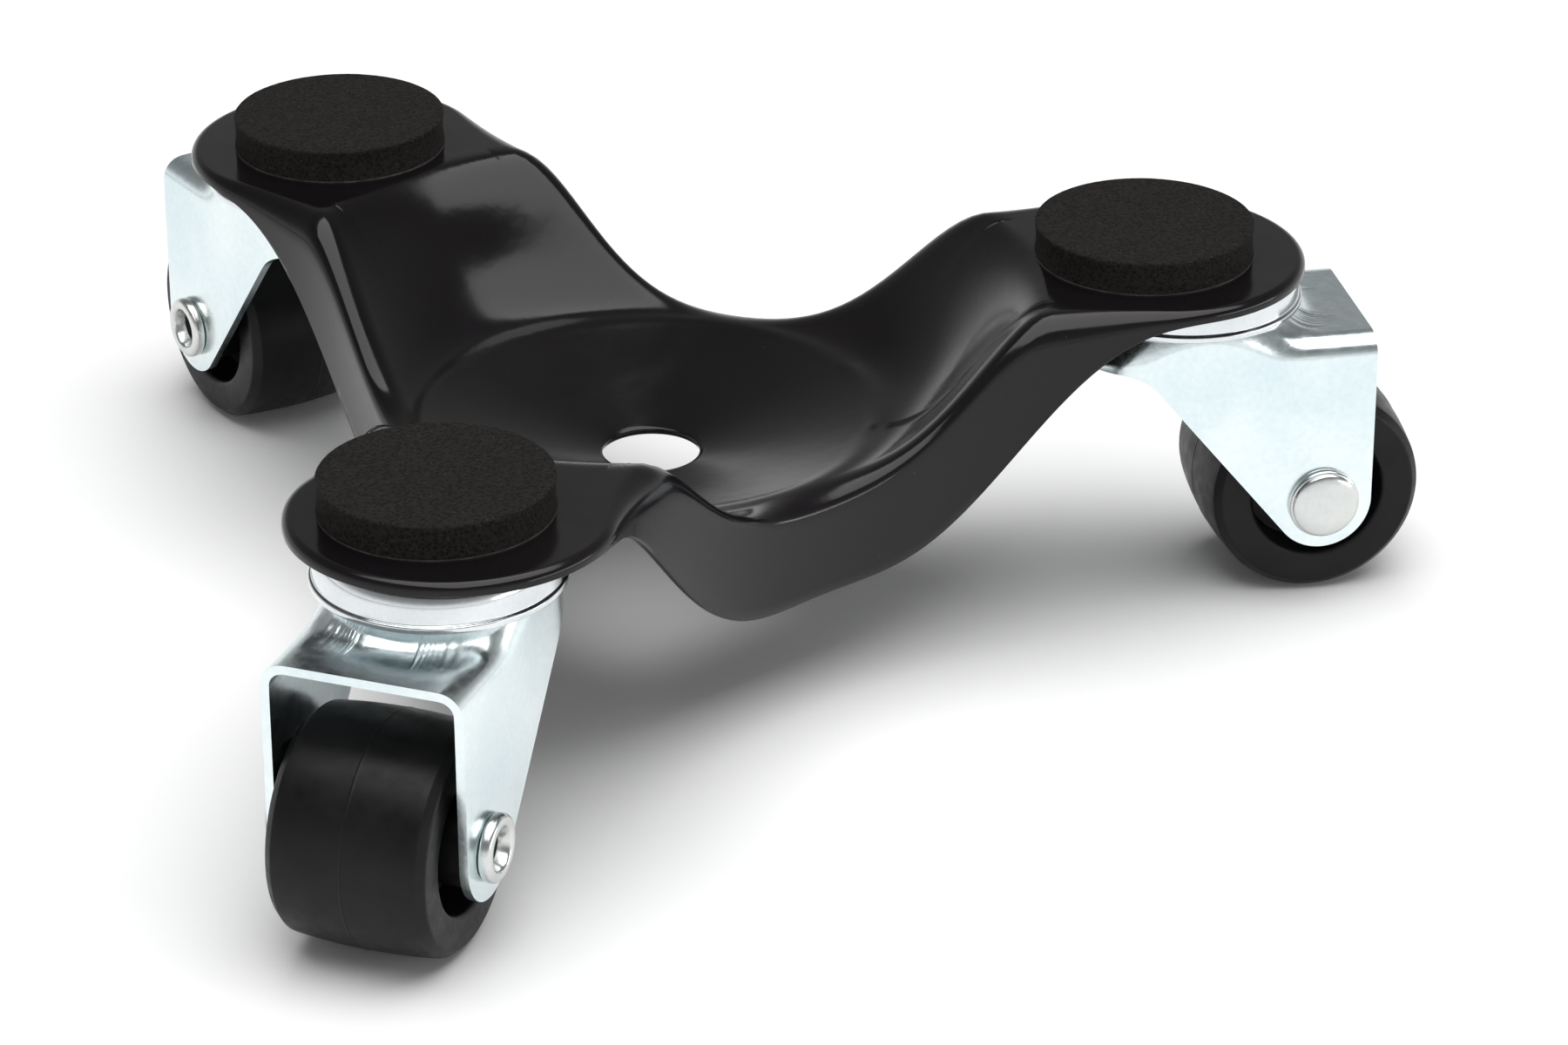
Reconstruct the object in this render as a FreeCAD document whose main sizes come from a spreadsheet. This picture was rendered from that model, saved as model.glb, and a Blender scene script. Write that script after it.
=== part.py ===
"""Three-wheel furniture dolly: a pressed steel plate with three padded lobes on swivel casters.

Frame: millimetres, +Z up. The origin is the centre of the plate's centre hole, on the plate's
upper surface. The front lobe points along -Y, the other two are 120 degrees to each side of it.

Each caster is drawn in a frame of its own: the origin is on the swivel axis at the lobe's upper
surface, +X is the side that the wheel trails to, and +Y is the flared end of the axle.
"""
import FreeCAD, Part
import math
import os

import Sketcher

Vector = FreeCAD.Vector
Rotation = FreeCAD.Rotation
Placement = FreeCAD.Placement

doc = FreeCAD.newDocument("furniture_dolly")
sheet = doc.addObject("Spreadsheet::Sheet", "size")

# ---------------------------------------------------------------- driving dimensions (mm)

# A dimension that follows others is given as a formula in their names.
DIMENSIONS = [
    # the plate, with heights measured from the centre hole's rim
    ("sheet_thickness", 1.2),
    ("hole_radius", 8.5),
    ("dish_radius", 39.3),
    ("dish_rise", 7.3),
    ("lobe_rise", 30.0),
    ("lobe_pitch_radius", 88.0),
    ("arm_top_inset", 19.5),
    ("arm_top_radius", "=lobe_pitch_radius - arm_top_inset"),
    ("lobe_radius", 27.0),
    ("waist_radius", 45.6),
    ("waist_bend", 5.5),
    ("rim_bend", 1.5),
    ("rim_depth", 2.0),
    ("flange_drop", 10.4),
    ("arm_channel", 1.6),
    # how the climb, the flange and the roll come on: above 1, later; the reach is in lobe radii
    ("climb_onset", 1.15),
    ("flange_onset", 1.4),
    ("roll_gain", 1.6),
    ("flange_reach", 0.4),
    # the foam pads and their adhesive films
    ("pad_radius", 19.0),
    ("pad_thickness", 5.7),
    ("film_thickness", 0.3),
    ("pad_relief_clearance", 0.6),
    # how far each pad was stuck off its lobe's centre
    ("pad_shift_x_front", -2.4),
    ("pad_shift_y_front", -0.8),
    ("pad_shift_x_right", -0.9),
    ("pad_shift_y_right", -0.3),
    ("pad_shift_x_left", 0.0),
    ("pad_shift_y_left", 0.0),
    ("pad_shift_most", 2.6),
    # where the casters are riveted, and which way each one trails, in degrees from its arm
    ("swivel_offset", 6.3),
    ("swivel_radius", "=lobe_pitch_radius + swivel_offset"),
    ("trail_turn_front", -1.0),
    ("trail_turn_right", 0.0),
    ("trail_turn_left", -7.7),
    # clearances
    ("press_clearance", 0.03),
    ("running_clearance", 0.08),
    ("race_clearance", 0.06),
    # the kingpin
    ("kingpin_neck_radius", 4.0),
    ("kingpin_shoulder_radius", 5.0),
    ("kingpin_head_radius", 7.0),
    ("kingpin_head_height", 1.5),
    ("kingpin_tail_radius", 6.8),
    ("kingpin_tail_height", 2.2),
    # the raceway cup
    ("cup_sheet", 1.5),
    ("cup_wall_radius", 20.0),
    ("cup_draft", 0.4),
    ("cup_bend", 4.5),
    ("cup_lip_flare", 0.6),
    ("cup_lip_radius", "=cup_wall_radius + cup_lip_flare"),
    ("cup_lip_height", 1.3),
    ("cup_height", 7.7),
    # the two rows of balls and the lower race
    ("upper_ball_radius", 2.25),
    ("upper_ball_inset", 4.8),
    ("upper_ball_circle", "=cup_wall_radius - upper_ball_inset"),
    ("upper_ball_fill", 0.85),
    ("lower_ball_radius", 1.6),
    ("lower_ball_inset", 4.8),
    ("lower_ball_circle", "=upper_ball_circle - lower_ball_inset"),
    ("lower_ball_fill", 0.8),
    ("lower_race_thickness", 1.5),
    ("lower_race_rim", 1.2),
    # the fork
    ("fork_sheet", 1.5),
    ("wheel_side_gap", 2.0),
    ("fork_half_width", "=wheel_width / 2 + wheel_side_gap + fork_sheet"),
    ("fork_front_radius", 20.5),
    ("fork_corner_radius", 7.0),
    ("fork_nose_corner", 13.6),
    ("fork_bend", 4.0),
    ("fork_shoulder_drop", 4.8),
    ("crown_margin", 0.8),
    ("crown_flat_radius", "=upper_ball_circle + crown_margin"),
    ("crown_slope_width", 5.5),
    ("crown_base_radius", "=crown_flat_radius + crown_slope_width"),
    ("fork_hole_radius", 6.4),
    ("fork_back", 30.6),
    ("fork_skirt", 4.2),
    ("leg_slope", 51.0),
    ("leg_sweep_radius", 9.0),
    # the wheel and its axle, measured from the lobe's upper surface and the swivel axis
    ("fork_depth", 23.6),
    ("axle_drop", "=fork_depth + wheel_radius"),
    ("trail", 21.9),
    ("wheel_radius", 19.2),
    ("wheel_width", 27.0),
    ("tread_crown", 0.7),
    ("shoulder_width", 1.5),
    ("shoulder_drop", 1.3),
    ("recess_radius", 11.6),
    ("recess_depth", 7.0),
    ("hub_radius", 7.0),
    ("hub_clearance", 0.3),
    ("axle_radius", 4.0),
    ("axle_bore_radius", 3.0),
    ("axle_head_radius", 6.3),
    ("axle_head_height", 2.7),
    ("flare_radius", 5.6),
    ("flare_mouth_radius", 3.7),
    ("flare_height", 2.2),
]

for row, (alias, number) in enumerate(DIMENSIONS, start=1):
    sheet.set("A%d" % row, alias)
    sheet.set("B%d" % row, str(number))
    sheet.setAlias("B%d" % row, alias)
doc.recompute()

ARMS = {"front": -90.0, "right": 30.0, "left": 150.0}

# How finely the pressed skins are laid out: points on each side of the outline, and steps across
# the top, over the roll and down the wall. A skin starts inside the hole that is cut in it, at
# this share of the hole's radius.
PLATE_STATIONS, PLATE_ROWS = 24, (28, 7, 6)
FORK_STATIONS, FORK_ROWS = 16, (18, 6, 4)
SKIN_START = 0.6
# the plate's columns that end on a lobe set out within this many degrees of its arm
LOBE_FAN = 22.0


def size(alias):
    """A driving dimension, as a number."""
    return float(sheet.get(alias))


def solved(formula):
    """The value of a formula in the sheet's terms, such as size.trail + size.wheel_radius."""
    return float(sheet.evalExpression(formula))


# Levels inside a caster, from the lobe's upper surface down, as formulas in the sheet's terms.
CUP_TOP = "(-size.sheet_thickness)"
CUP_CEILING = "(%s - size.cup_sheet)" % CUP_TOP
UPPER_BALLS = "(%s - size.race_clearance - size.upper_ball_radius)" % CUP_CEILING
CROWN_TOP = "(%s - size.upper_ball_radius - size.race_clearance)" % UPPER_BALLS
CROWN_CEILING = "(%s - size.fork_sheet)" % CROWN_TOP
LOWER_BALLS = "(%s - size.race_clearance - size.lower_ball_radius)" % CROWN_CEILING
LOWER_RACE_TOP = "(%s - size.lower_ball_radius - size.race_clearance)" % LOWER_BALLS
LOWER_RACE_BOTTOM = "(%s - size.lower_race_thickness)" % LOWER_RACE_TOP
CUP_BOTTOM = "(%s - size.cup_height)" % CUP_TOP
HUB_HALF = "(size.fork_half_width - size.fork_sheet - size.hub_clearance)"
PIN_HOLE = "(size.kingpin_neck_radius + size.press_clearance)"


# ---------------------------------------------------------------- drawing helpers

def origin_plane(body, role):
    """One of the body's own origin planes, such as XZ_Plane."""
    return next(item for item in body.Origin.OriginFeatures if item.Role == role)


def new_body(name):
    """An empty body, labelled with its node's name."""
    body = doc.addObject("PartDesign::Body", name)
    body.Label = name
    return body


def new_sketch(body, name, plane_role):
    """A sketch on one of the body's origin planes."""
    sketch = body.newObject("Sketcher::SketchObject", name)
    sketch.AttachmentSupport = [(origin_plane(body, plane_role), "")]
    sketch.MapMode = "FlatFace"
    return sketch


def fix_point(sketch, geometry, end, across, up):
    """Ties one end of a sketch line to its two formulas, measured from the sketch's origin."""
    for kind, axis, formula in (("DistanceX", -2, across), ("DistanceY", -1, up)):
        if formula == "0":
            sketch.addConstraint(constraint("PointOnObject", geometry, end, axis))
            continue
        index = sketch.addConstraint(constraint(kind, -1, 1, geometry, end, solved(formula)))
        sketch.setExpression("Constraints[%d]" % index, formula)


def constraint(*terms):
    """A sketch constraint."""
    return Sketcher.Constraint(*terms)


def draw_outline(sketch, corners, arcs=None):
    """A closed outline through the corners, given as pairs of formulas.

    arcs maps a side's number to the formula of its radius: that side is an arc whose centre is
    on the sketch's upright axis, bulging away from the sketch's level axis.
    """
    arcs = arcs or {}
    points = [Vector(solved(across), solved(up), 0) for across, up in corners]
    count = len(points)
    for side in range(count):
        start, stop = points[side], points[(side + 1) % count]
        if side not in arcs:
            sketch.addGeometry(Part.LineSegment(start, stop), False)
            continue
        radius = solved(arcs[side])
        centre_height = start.y - math.sqrt(radius ** 2 - start.x ** 2)
        crest = Vector(0, centre_height + radius, 0)
        sketch.addGeometry(Part.Arc(start, crest, stop), False)
    for side in range(count):
        sketch.addConstraint(constraint("Coincident", side, 2, (side + 1) % count, 1))
    for side, (across, up) in enumerate(corners):
        fix_point(sketch, side, 1, across, up)
    for side, formula in arcs.items():
        index = sketch.addConstraint(constraint("Radius", side, solved(formula)))
        sketch.setExpression("Constraints[%d]" % index, formula)


def turned_body(name, corners, upright=True, arcs=None):
    """A body turned from a half outline.

    Upright pieces are drawn as (radius, height) and turned about Z. The others are drawn as
    (position along Y, radius) and turned about Y.
    """
    body = new_body(name)
    sketch = new_sketch(body, name + "_outline", "XZ_Plane" if upright else "YZ_Plane")
    draw_outline(sketch, corners, arcs)
    turned = body.newObject("PartDesign::Revolution", name + "_turned")
    turned.Profile = sketch
    turned.ReferenceAxis = (sketch, ["V_Axis" if upright else "H_Axis"])
    turned.Angle = 360
    sketch.Visibility = False
    doc.recompute()
    return body


def circle_edges(shape, wanted, upright):
    """Names of the circular edges at the wanted (radius, position along the axis) pairs."""
    names = []
    for number, edge in enumerate(shape.Edges, start=1):
        if not isinstance(edge.Curve, Part.Circle):
            continue
        centre = edge.Curve.Center
        place = centre.z if upright else centre.y
        for radius, position in wanted:
            if abs(edge.Curve.Radius - radius) < 1e-4 and abs(place - position) < 1e-4:
                names.append("Edge%d" % number)
    return names


def round_circles(body, name, radius, wanted, upright=True):
    """Rounds the body's circular edges at the wanted pairs of formulas."""
    places = [(solved(across), solved(along)) for across, along in wanted]
    base = body.Tip
    names = circle_edges(base.Shape, places, upright)
    if len(names) < len(places):
        raise ValueError("%s: found %d of %d edges" % (name, len(names), len(places)))
    rounding = body.newObject("PartDesign::Fillet", name)
    rounding.Base = (base, names)
    rounding.Radius = solved(radius)
    rounding.setExpression("Radius", radius)
    doc.recompute()


def cut_disc(body, name, radius, across, height):
    """Cuts a round pocket upwards into the body, from its XY plane, at X = across."""
    sketch = new_sketch(body, name + "_outline", "XY_Plane")
    add_circle(sketch, radius, across)
    before = body.Shape.Volume
    pocket = body.newObject("PartDesign::Pocket", name)
    pocket.Profile = sketch
    pocket.Reversed = True
    pocket.Length = solved(height)
    pocket.setExpression("Length", height)
    sketch.Visibility = False
    doc.recompute()
    if body.Shape.Volume >= before:
        raise ValueError(name + " cut nothing")


def add_circle(sketch, radius, across="0"):
    """A circle in a sketch, its centre on the level axis at the formula across."""
    circle = Part.Circle(Vector(solved(across), 0, 0), Vector(0, 0, 1), solved(radius))
    sketch.addGeometry(circle, False)
    index = sketch.addConstraint(constraint("Radius", 0, solved(radius)))
    sketch.setExpression("Constraints[%d]" % index, radius)
    fix_point(sketch, 0, 3, across, "0")


# ---------------------------------------------------------------- pressed sheet

# how far along a column, in rows, a slope is read
ROW_NUDGE = 1e-3


def smooth(value):
    """A ramp from 0 to 1 that starts and ends level."""
    value = min(max(value, 0.0), 1.0)
    return value * value * (3 - 2 * value)


def edge_stations(edges, per_edge, fans=None):
    """Where the skin's columns end, along a closed outline that runs anticlockwise.

    Each station is a point, the outward normal there, and the direction in which its column sets
    out. That is straight at the point, or, where fans gives each edge a first and a last heading,
    spread between them, which keeps columns apart where a side runs nearly along them.
    """
    stations = []
    for number, edge in enumerate(edges):
        for step in range(per_edge):
            parameter = edge.getParameterByLength(edge.Length * step / per_edge)
            tangent = edge.tangentAt(parameter)
            point = edge.valueAt(parameter)
            outward = Vector(point.x, point.y, 0).normalize()
            if fans is not None:
                first, last = fans[number]
                outward = turned_point(1, first + (last - first) * step / per_edge)
            stations.append((point, Vector(tangent.y, -tangent.x, 0), outward))
    return stations


def pressed_sheet(stations, height, bend_at, bottom_at, thickness, start_radius, turn_in, rows):
    """A solid of sheet metal pressed to a height formula and rolled over at its outline.

    height(x, y) is the upper surface. bend_at(point) is the outer radius of the roll at the
    outline, and bottom_at(point) the level of the wall's lower edge. Every column of the skin
    runs out from a small circle round the origin, meets the outline square on, rolls over and
    goes down the wall. rows holds how many steps the top, the roll and the wall take.
    """
    top_rows, roll_rows, wall_rows = rows
    total_rows = top_rows + roll_rows + wall_rows

    def skin_point(column, row):
        """The upper surface at a row number, which need not be whole."""
        edge_point, normal, outward = column
        bend = bend_at(edge_point)
        inner = edge_point - normal * bend
        if row <= top_rows:
            share = row / top_rows
            start = outward * start_radius
            reach = (inner - start).Length / 3
            knots = (start, start + outward * reach, inner - normal * min(turn_in, reach), inner)
            weights = ((1 - share) ** 3, 3 * share * (1 - share) ** 2,
                       3 * share ** 2 * (1 - share), share ** 3)
            place = sum((knot * weight for knot, weight in zip(knots, weights)), Vector())
            return Vector(place.x, place.y, height(place.x, place.y))
        if row <= top_rows + roll_rows:
            turn = math.pi / 2 * (row - top_rows) / roll_rows
            place = inner + normal * (bend * math.sin(turn))
            return Vector(place.x, place.y, height(place.x, place.y) - bend * (1 - math.cos(turn)))
        share = (row - top_rows - roll_rows) / wall_rows
        wall_top = height(edge_point.x, edge_point.y) - bend
        level = wall_top + (bottom_at(edge_point) - wall_top) * share
        return Vector(edge_point.x, edge_point.y, level)

    def skin_normal(index, row):
        """The direction out of the upper surface."""
        column = stations[index]
        if row >= top_rows + roll_rows:
            return column[1]
        down = skin_point(column, row + ROW_NUDGE) - skin_point(column, max(row - ROW_NUDGE, 0.0))
        after = skin_point(stations[(index + 1) % len(stations)], row)
        before = skin_point(stations[index - 1], row)
        return down.cross(after - before).normalize()

    outer = []
    inner = []
    for index, column in enumerate(stations):
        outer_column = [skin_point(column, float(row)) for row in range(total_rows + 1)]
        inner_column = [
            point - skin_normal(index, float(row)) * thickness
            for row, point in enumerate(outer_column)
        ]
        outer.append(outer_column)
        inner.append(inner_column)
    faces = [skin_face(outer), skin_face(inner)]
    for row in (0, total_rows):
        rim = [skin_rim(poles, row) for poles in (outer, inner)]
        faces.append(Part.makeRuledSurface(*rim))
    shell = Part.Shell(faces)
    shell.sewShape()
    solid = Part.Solid(shell)
    if solid.Volume < 0:
        solid.reverse()
    return solid


def end_knots(count):
    """Even knots for a row of poles, held at both ends, with how often each one counts."""
    spans = count - 3
    return [step / spans for step in range(spans + 1)], [4] + [1] * (spans - 1) + [4]


def skin_face(poles):
    """A smooth face from a closed ring of columns of poles."""
    around = len(poles)
    knots, times = end_knots(len(poles[0]))
    surface = Part.BSplineSurface()
    surface.buildFromPolesMultsKnots(
        poles, [1] * (around + 1), times, [step / around for step in range(around + 1)], knots,
        True, False, 3, 3)
    return surface.toShape()


def skin_rim(poles, row):
    """The closed edge along one end row of a skin."""
    around = len(poles)
    curve = Part.BSplineCurve()
    curve.buildFromPolesMultsKnots(
        [column[row] for column in poles], [1] * (around + 1),
        [step / around for step in range(around + 1)], True, 3)
    return curve.toShape()


# ---------------------------------------------------------------- the plate

def turned_point(radius, degrees):
    """A point on the level plane, by its distance and direction from the origin."""
    angle = math.radians(degrees)
    return Vector(radius * math.cos(angle), radius * math.sin(angle), 0)


def plate_outline():
    """The plate's outline: three lobe arcs joined by three arcs that bow inwards."""
    pitch, lobe, waist = size("lobe_pitch_radius"), size("lobe_radius"), size("waist_radius")
    bow = (pitch ** 2 + waist ** 2 - pitch * waist - lobe ** 2) / (pitch + 2 * lobe - 2 * waist)
    edges = []
    for arm in sorted(ARMS.values()):
        centre = turned_point(pitch, arm)
        before = turned_point(waist + bow, arm - 60)
        after = turned_point(waist + bow, arm + 60)
        join_before = centre + (before - centre).normalize() * lobe
        join_after = centre + (after - centre).normalize() * lobe
        next_centre = turned_point(pitch, arm + 120)
        next_join = next_centre + (after - next_centre).normalize() * lobe
        tip = turned_point(pitch + lobe, arm)
        middle = turned_point(waist, arm + 60)
        edges.append(Part.Arc(join_before, tip, join_after).toShape())
        edges.append(Part.Arc(join_after, middle, next_join).toShape())
    return edges


def plate_height(x, y):
    """The plate's upper surface: a coned dish, three arms that climb out of it, flat lobes."""
    radius = math.hypot(x, y)
    dish, top = size("dish_radius"), size("arm_top_radius")
    if radius <= dish:
        return size("dish_rise") * (radius - size("hole_radius")) / (dish - size("hole_radius"))
    climb = min((radius - dish) / (top - dish), 1.0)
    rise = smooth(climb ** size("climb_onset"))
    level = size("dish_rise") + (size("lobe_rise") - size("dish_rise")) * rise
    heading = math.degrees(math.atan2(y, x))
    off_arm = min(abs((heading - arm + 180) % 360 - 180) for arm in ARMS.values())
    sideways = radius * math.sin(math.radians(min(off_arm, 90)))
    hollow = smooth(1 - sideways / size("lobe_radius")) * math.sin(math.pi * climb) ** 2
    return level - size("arm_channel") * hollow


def waist_share(point):
    """0 on a lobe's far side, 1 at the middle of a side."""
    start = size("lobe_pitch_radius") + size("lobe_radius") * size("flange_reach")
    return min(max((start - point.Length) / (start - size("waist_radius")), 0.0), 1.0)


def plate_bend(point):
    """The roll at the outline: tight round the lobes, generous along the sides."""
    share = smooth(waist_share(point) * size("roll_gain"))
    return size("rim_bend") + (size("waist_bend") - size("rim_bend")) * share


def plate_bottom(point):
    """The lower edge: a shallow rim round the lobes that deepens into a flange at the sides."""
    rim = size("lobe_rise") - size("rim_depth")
    return rim - (rim + size("flange_drop")) * smooth(waist_share(point) ** size("flange_onset"))


def make_plate():
    """The plate, with its centre hole and a rivet hole in each lobe."""
    fans = []
    for arm in sorted(ARMS.values()):
        fans.append((arm - LOBE_FAN, arm + LOBE_FAN))
        fans.append((arm + LOBE_FAN, arm + 120 - LOBE_FAN))
    pressing = doc.addObject("Part::Feature", "plate_pressing")
    pressing.Shape = pressed_sheet(
        edge_stations(plate_outline(), PLATE_STATIONS, fans), plate_height, plate_bend, plate_bottom,
        size("sheet_thickness"), size("hole_radius") * SKIN_START, size("waist_bend"), PLATE_ROWS)
    holes = [plate_hole("centre_hole", "size.hole_radius", None)]
    for name, arm in ARMS.items():
        holes.append(plate_hole("kingpin_hole_" + name, PIN_HOLE, arm))
    tool = doc.addObject("Part::MultiFuse", "plate_holes")
    tool.Shapes = holes
    plate = doc.addObject("Part::Cut", "dolly_plate")
    plate.Base = pressing
    plate.Tool = tool
    plate.Label = "dolly_plate"
    doc.recompute()
    return plate


def plate_hole(name, radius, arm):
    """A cylinder that cuts one hole through the plate, at the centre or on an arm."""
    hole = doc.addObject("Part::Cylinder", name)
    hole.setExpression("Radius", radius)
    hole.setExpression("Height", "2 * size.lobe_rise")
    centre = Vector(0, 0, -size("lobe_rise"))
    if arm is not None:
        centre = turned_point(size("swivel_radius"), arm)
    hole.Placement = Placement(centre, Rotation())
    return hole


# ---------------------------------------------------------------- pads

# the kingpin's head, with room for a pad that was stuck off centre
HEAD_RELIEF = "(size.kingpin_head_radius + size.pad_relief_clearance + size.pad_shift_most)"
HEAD_ACROSS = "size.swivel_radius - size.lobe_pitch_radius"


def make_pad(arm_name):
    """A foam pad, drawn about its own centre, with a relief underneath for the kingpin's head."""
    name = "foam_pad_" + arm_name
    body = new_body(name)
    disc(body, name + "_disc", "size.pad_radius", "size.pad_thickness")
    # the relief is deeper than the head by its clearance, less the film that the pad stands on
    depth = "size.kingpin_head_height + size.pad_relief_clearance - size.film_thickness"
    cut_disc(body, name + "_relief", HEAD_RELIEF, HEAD_ACROSS, depth)
    body.Placement = pad_place(arm_name, size("lobe_rise") + size("film_thickness"))
    return body


def make_film(arm_name):
    """The adhesive film under a pad, with a hole round the kingpin's head."""
    name = "pad_film_" + arm_name
    body = new_body(name)
    disc(body, name + "_disc", "size.pad_radius", "size.film_thickness")
    cut_disc(body, name + "_opening", HEAD_RELIEF, HEAD_ACROSS, "size.film_thickness")
    body.Placement = pad_place(arm_name, size("lobe_rise"))
    return body


def disc(body, name, radius, height):
    """A round plate standing on the body's XY plane."""
    sketch = new_sketch(body, name + "_outline", "XY_Plane")
    add_circle(sketch, radius)
    pad = body.newObject("PartDesign::Pad", name)
    pad.Profile = sketch
    pad.Length = solved(height)
    pad.setExpression("Length", height)
    sketch.Visibility = False
    doc.recompute()


def pad_place(arm_name, level):
    """A pad's place on its lobe, with +X pointing out along the arm."""
    arm = ARMS[arm_name]
    shift = Vector(size("pad_shift_x_" + arm_name), size("pad_shift_y_" + arm_name), level)
    return Placement(turned_point(size("lobe_pitch_radius"), arm) + shift,
                     Rotation(Vector(0, 0, 1), arm))


# ---------------------------------------------------------------- caster, the fixed half

def make_cup(name):
    """The upper raceway: an inverted cup with a rolled lip, riveted under the lobe."""
    outer_top = "(size.cup_wall_radius - size.cup_draft)"
    lip_top = "(%s + size.cup_lip_height)" % CUP_BOTTOM
    body = turned_body(name, [
        (PIN_HOLE, CUP_TOP),
        (outer_top, CUP_TOP),
        ("size.cup_wall_radius", lip_top),
        ("size.cup_lip_radius", lip_top),
        ("size.cup_lip_radius", CUP_BOTTOM),
        ("size.cup_wall_radius - size.cup_sheet", CUP_BOTTOM),
        (outer_top + " - size.cup_sheet", CUP_CEILING),
        (PIN_HOLE, CUP_CEILING),
    ])
    round_circles(body, name + "_shoulder", "size.cup_bend", [(outer_top, CUP_TOP)])
    round_circles(body, name + "_inner_shoulder", "size.cup_bend - size.cup_sheet",
                  [(outer_top + " - size.cup_sheet", CUP_CEILING)])
    round_circles(body, name + "_lip", "size.cup_lip_height * 0.42",
                  [("size.cup_lip_radius", lip_top), ("size.cup_lip_radius", CUP_BOTTOM)])
    return body


def make_kingpin(name):
    """The rivet on the swivel axis: a shoulder holds the lower race clear of the cup."""
    tail_bottom = "(%s - size.kingpin_tail_height)" % LOWER_RACE_BOTTOM
    body = turned_body(name, [
        ("0", tail_bottom),
        ("size.kingpin_tail_radius", tail_bottom),
        ("size.kingpin_tail_radius", LOWER_RACE_BOTTOM),
        ("size.kingpin_neck_radius", LOWER_RACE_BOTTOM),
        ("size.kingpin_neck_radius", LOWER_RACE_TOP),
        ("size.kingpin_shoulder_radius", LOWER_RACE_TOP),
        ("size.kingpin_shoulder_radius", CUP_CEILING),
        ("size.kingpin_neck_radius", CUP_CEILING),
        ("size.kingpin_neck_radius", "0"),
        ("size.kingpin_head_radius", "0"),
        ("size.kingpin_head_radius", "size.kingpin_head_height"),
        ("0", "size.kingpin_head_height"),
    ])
    round_circles(body, name + "_head_edge", "size.kingpin_head_height * 0.6",
                  [("size.kingpin_head_radius", "size.kingpin_head_height")])
    round_circles(body, name + "_tail_edge", "size.kingpin_tail_height * 0.6",
                  [("size.kingpin_tail_radius", tail_bottom)])
    return body


def make_lower_race(name):
    """The lower race: a washer with a turned-up rim, clamped by the kingpin's tail."""
    rim_inside = "(size.lower_ball_circle + size.lower_ball_radius + 5 * size.race_clearance)"
    rim_outside = "(%s + size.lower_race_thickness * 0.8)" % rim_inside
    rim_top = "(%s + size.lower_race_rim)" % LOWER_RACE_TOP
    body = turned_body(name, [
        (PIN_HOLE, LOWER_RACE_BOTTOM),
        (rim_outside, LOWER_RACE_BOTTOM),
        (rim_outside, rim_top),
        (rim_inside, rim_top),
        (rim_inside, LOWER_RACE_TOP),
        (PIN_HOLE, LOWER_RACE_TOP),
    ])
    round_circles(body, name + "_edge", "size.lower_race_thickness * 0.6",
                  [(rim_outside, LOWER_RACE_BOTTOM)])
    return body


def make_balls(name, kind, level):
    """A row of loose balls that fills most of its race."""
    radius, circle = size(kind + "_ball_radius"), size(kind + "_ball_circle")
    count = int(size(kind + "_ball_fill") * math.pi * circle / radius)
    balls = []
    for number in range(count):
        centre = turned_point(circle, 360.0 * number / count)
        balls.append(Part.makeSphere(radius, centre + Vector(0, 0, solved(level))))
    row = doc.addObject("Part::Feature", name)
    row.Label = name
    row.Shape = Part.makeCompound(balls)
    return row


# ---------------------------------------------------------------- caster, the swivelling half

def rounded_outline(corners, radii):
    """Edges round a closed outline whose corners are rounded by their own radii."""
    edges = []
    count = len(corners)
    starts = []
    stops = []
    arcs = []
    for number, corner in enumerate(corners):
        back = (corners[number - 1] - corner).normalize()
        ahead = (corners[(number + 1) % count] - corner).normalize()
        half = math.acos(max(-1.0, min(1.0, back.dot(ahead)))) / 2
        reach = radii[number] / math.tan(half)
        centre = corner + (back + ahead).normalize() * (radii[number] / math.sin(half))
        middle = centre + (corner - centre).normalize() * radii[number]
        starts.append(corner + back * reach)
        stops.append(corner + ahead * reach)
        arcs.append(Part.Arc(starts[-1], middle, stops[-1]).toShape())
    for number in range(count):
        edges.append(arcs[number])
        edges.append(Part.makeLine(stops[number], starts[(number + 1) % count]))
    return edges


def fork_pressing(name):
    """The fork's sheet before it is trimmed: a cap with walls all the way round."""
    half, back = size("fork_half_width"), size("fork_back")
    nose, corner = size("fork_front_radius"), size("fork_corner_radius")
    crown_top = solved(CROWN_TOP)
    wall_bottom = -size("axle_drop") - size("wheel_radius")
    # the back wall stands well behind the legs, so that all of it is trimmed off
    overrun = 2 * corner + half
    corners = [Vector(back + overrun, -half, 0), Vector(back + overrun, half, 0),
               Vector(-nose, half, 0), Vector(-nose, -half, 0)]
    nose_corner = size("fork_nose_corner")
    outline = rounded_outline(corners, [corner, corner, nose_corner, nose_corner])
    stations = edge_stations(outline, FORK_STATIONS)
    levels = {}

    def height(x, y):
        """Looks each level up once, because every step of the skin asks for it again."""
        key = (x, y)
        if key not in levels:
            flat, base = size("crown_flat_radius"), size("crown_base_radius")
            sink = smooth((math.hypot(x, y) - flat) / (base - flat))
            levels[key] = crown_top - size("fork_shoulder_drop") * sink
        return levels[key]

    pressing = doc.addObject("Part::Feature", name + "_pressing")
    pressing.Shape = pressed_sheet(
        stations, height, lambda point: size("fork_bend"), lambda point: wall_bottom,
        size("fork_sheet"), size("fork_hole_radius") * SKIN_START, size("fork_bend"), FORK_ROWS)
    return pressing


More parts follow.
